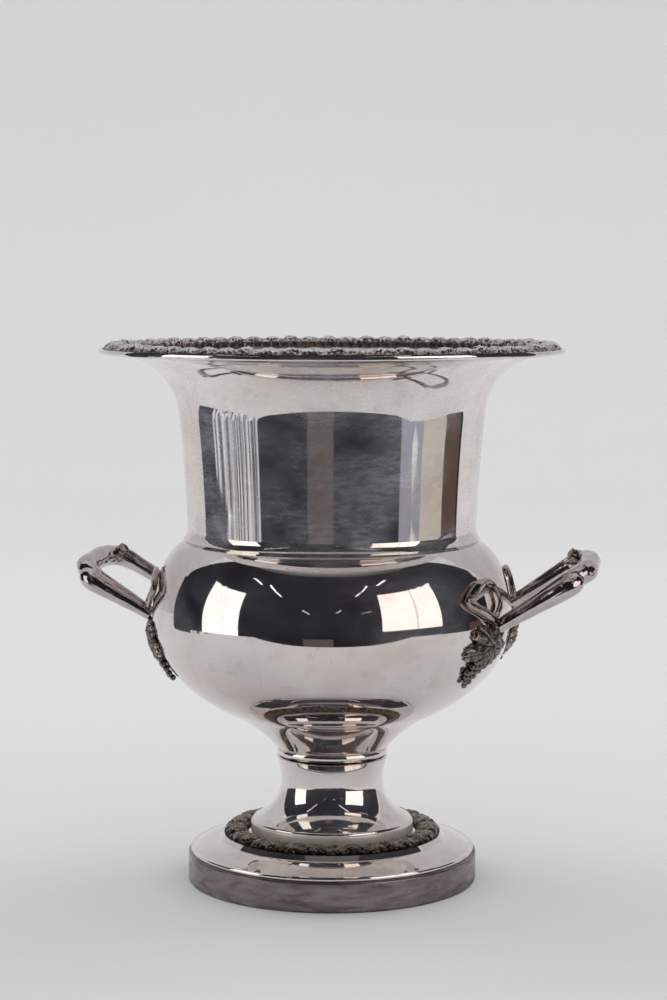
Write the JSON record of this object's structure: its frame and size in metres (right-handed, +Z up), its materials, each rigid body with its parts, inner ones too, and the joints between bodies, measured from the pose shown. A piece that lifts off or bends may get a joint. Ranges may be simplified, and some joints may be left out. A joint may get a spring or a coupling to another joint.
{
  "type": "champagne bucket",
  "caption": "Footed champagne bucket in silver plate: flared neck, round bowl, pedestal foot, cast vine borders and vine-branch handles; holds a bottle in ice.",
  "frame": {"origin": "middle of the face the foot stands on, on the axis of the bowl", "axes": "+Z up along the axis of the bowl; +X towards the right handle; -Y is the front"},
  "size_m": [0.2555, 0.2196, 0.2579],
  "materials": {
    "polished_silver_plate": "mirror-polished silver plate with a warm tarnish cast",
    "dull_silver_plate": "silver plate gone dull and purple-grey with tarnish",
    "antiqued_castings": "cast vine relief, blackened in the recesses and bright on the high points",
    "handle_castings": "polished cast branches with brown tarnish in the grooves",
    "plated_steel_fastening": "plated steel stud, nut and washers",
    "bare_brass": "bare turned brass boss"
  },
  "bodies": {
    "root": {"base_rim_wire": "dull_silver_plate", "bowl_boss": "bare_brass", "bowl_shell": "polished_silver_plate", "foot_dome": "polished_silver_plate", "foot_drum_band": "dull_silver_plate", "foot_edge_bead": "polished_silver_plate", "foot_nut": "plated_steel_fastening", "foot_stud": "plated_steel_fastening", "foot_vine_casting_1": "antiqued_castings", "foot_vine_casting_2": "antiqued_castings", "foot_vine_casting_3": "antiqued_castings", "foot_vine_casting_4": "antiqued_castings", "left_front_grape_cluster": "antiqued_castings", "left_front_leaf_mount": "antiqued_castings", "left_front_tendril": "handle_castings", "left_handle_knot": "handle_castings", "left_handle_loop": "handle_castings", "left_rear_grape_cluster": "antiqued_castings", "left_rear_leaf_mount": "antiqued_castings", "left_rear_tendril": "handle_castings", "lock_washer": "plated_steel_fastening", "neck_shell": "polished_silver_plate", "pedestal_base_ring": "polished_silver_plate", "pedestal_shell": "polished_silver_plate", "right_front_grape_cluster": "antiqued_castings", "right_front_leaf_mount": "antiqued_castings", "right_front_tendril": "handle_castings", "right_handle_knot": "handle_castings", "right_handle_loop": "handle_castings", "right_rear_grape_cluster": "antiqued_castings", "right_rear_leaf_mount": "antiqued_castings", "right_rear_tendril": "handle_castings", "rim_edge_wire": "polished_silver_plate", "rim_vine_casting_1": "antiqued_castings", "rim_vine_casting_2": "antiqued_castings", "rim_vine_casting_3": "antiqued_castings", "rim_vine_casting_4": "antiqued_castings", "rim_vine_casting_5": "antiqued_castings", "rim_vine_casting_6": "antiqued_castings", "stem_collar": "polished_silver_plate", "tension_plate": "plated_steel_fastening"}
  },
  "joints": []
}
